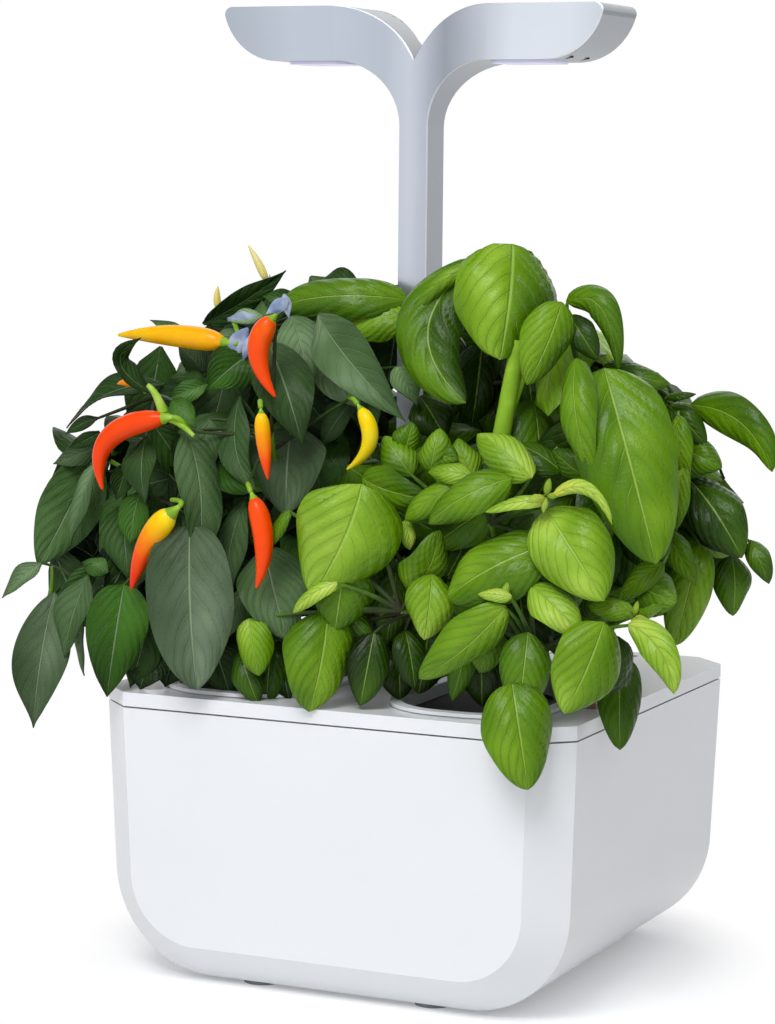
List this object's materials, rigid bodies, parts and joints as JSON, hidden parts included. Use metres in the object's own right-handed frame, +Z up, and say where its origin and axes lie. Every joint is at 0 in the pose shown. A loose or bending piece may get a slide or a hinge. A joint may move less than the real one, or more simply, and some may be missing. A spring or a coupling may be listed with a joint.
{
  "type": "countertop hydroponic garden",
  "caption": "White countertop water garden: rounded tub, lid with lift-out pods of chilli and basil, and a Y-shaped grow lamp on a sliding mast.",
  "frame": {"origin": "middle of the footprint, on the surface that the feet stand on", "axes": "+Z up, -Y towards the front, +X to the right seen from the front"},
  "size_m": [0.2894, 0.2118, 0.3624],
  "materials": {
    "tub_white": "gloss white moulding",
    "tray_white": "satin white moulding",
    "rubber_dark": "matte",
    "rubber_grey": "matte",
    "plastic_dark": "matte",
    "steel": "plain",
    "screw_black": "black oxide",
    "brass": "bright",
    "board_green": "solder mask",
    "cable_black": "matte",
    "cable_red": "matte",
    "clear": "clear moulding",
    "float_white": "foam",
    "marker_red": "gloss",
    "growing_medium": "fibrous",
    "cover_dark": "matte",
    "wick_white": "woven",
    "chilli_leaf": "satin leaf",
    "chilli_fruit": "gloss skin",
    "basil_leaf": "glossy leaf",
    "lamp_silver": "satin silver",
    "alloy": "plain",
    "board_white": "solder mask",
    "led_yellow": "gloss",
    "diffuser": "translucent"
  },
  "bodies": {
    "tub": {"tub_shell": "tub_white", "foot_pads": "rubber_dark"},
    "lid": {"lid_plate": "tub_white", "lid_gasket": "rubber_grey", "mast_socket": "tub_white", "socket_screws": "screw_black", "contact_brushes": "brass", "cable_duct": "tray_white", "inlet_cable": "cable_black", "control_board": "board_green", "button_switch": "plastic_dark", "power_jack": "plastic_dark", "jack_pin": "steel", "gauge_guide": "clear", "flap_pin": "steel"},
    "flap": {"filler_flap": "tub_white"},
    "float": {"float_block": "float_white", "float_rod": "marker_red"},
    "button": {"program_button": "tray_white"},
    "pod_left": {"pod_tray_left": "tray_white", "growing_block_left": "growing_medium", "pod_cover_left": "cover_dark", "wick_left": "wick_white", "chilli_plant": "chilli_leaf", "chilli_fruits": "chilli_fruit"},
    "pod_right": {"pod_tray_right": "tray_white", "growing_block_right": "growing_medium", "pod_cover_right": "cover_dark", "wick_right": "wick_white", "basil_plant": "basil_leaf"},
    "lamp": {"lamp_shell": "lamp_silver", "lamp_fascia": "lamp_silver", "top_cover_left": "lamp_silver", "top_cover_right": "lamp_silver", "cover_screws": "screw_black", "heat_spreader_left": "alloy", "heat_spreader_right": "alloy", "led_board_left": "board_white", "led_board_right": "board_white", "led_chips_left": "led_yellow", "led_chips_right": "led_yellow", "diffuser_left": "diffuser", "diffuser_right": "diffuser", "contact_rails": "brass", "mast_foot": "plastic_dark", "lamp_wires": "cable_red"}
  },
  "joints": [
    {"name": "lid_lift", "type": "slide", "parent": "tub", "child": "lid", "axis": [0, 0, 1], "range_m": [0, 0.12]},
    {"name": "pod_left_lift", "type": "slide", "parent": "lid", "child": "pod_left", "axis": [0, 0, 1], "range_m": [0, 0.06]},
    {"name": "pod_right_lift", "type": "slide", "parent": "lid", "child": "pod_right", "axis": [0, 0, 1], "range_m": [0, 0.06]},
    {"name": "lamp_height", "type": "slide", "parent": "lid", "child": "lamp", "axis": [0, 0, 1], "range_m": [-0.04, 0.01]},
    {"name": "float_travel", "type": "slide", "parent": "lid", "child": "float", "axis": [0, 0, 1], "range_m": [0, 0.02]},
    {"name": "flap_hinge", "type": "hinge", "parent": "lid", "child": "flap", "pos_m": [0.041, 0.0786, 0.1069], "axis": [-1, 0, 0], "range_deg": [0, 95]},
    {"name": "button_press", "type": "slide", "parent": "lid", "child": "button", "axis": [0, 0, 1], "range_m": [-0.0012, 0], "stiffness_N_per_m": 350}
  ]
}
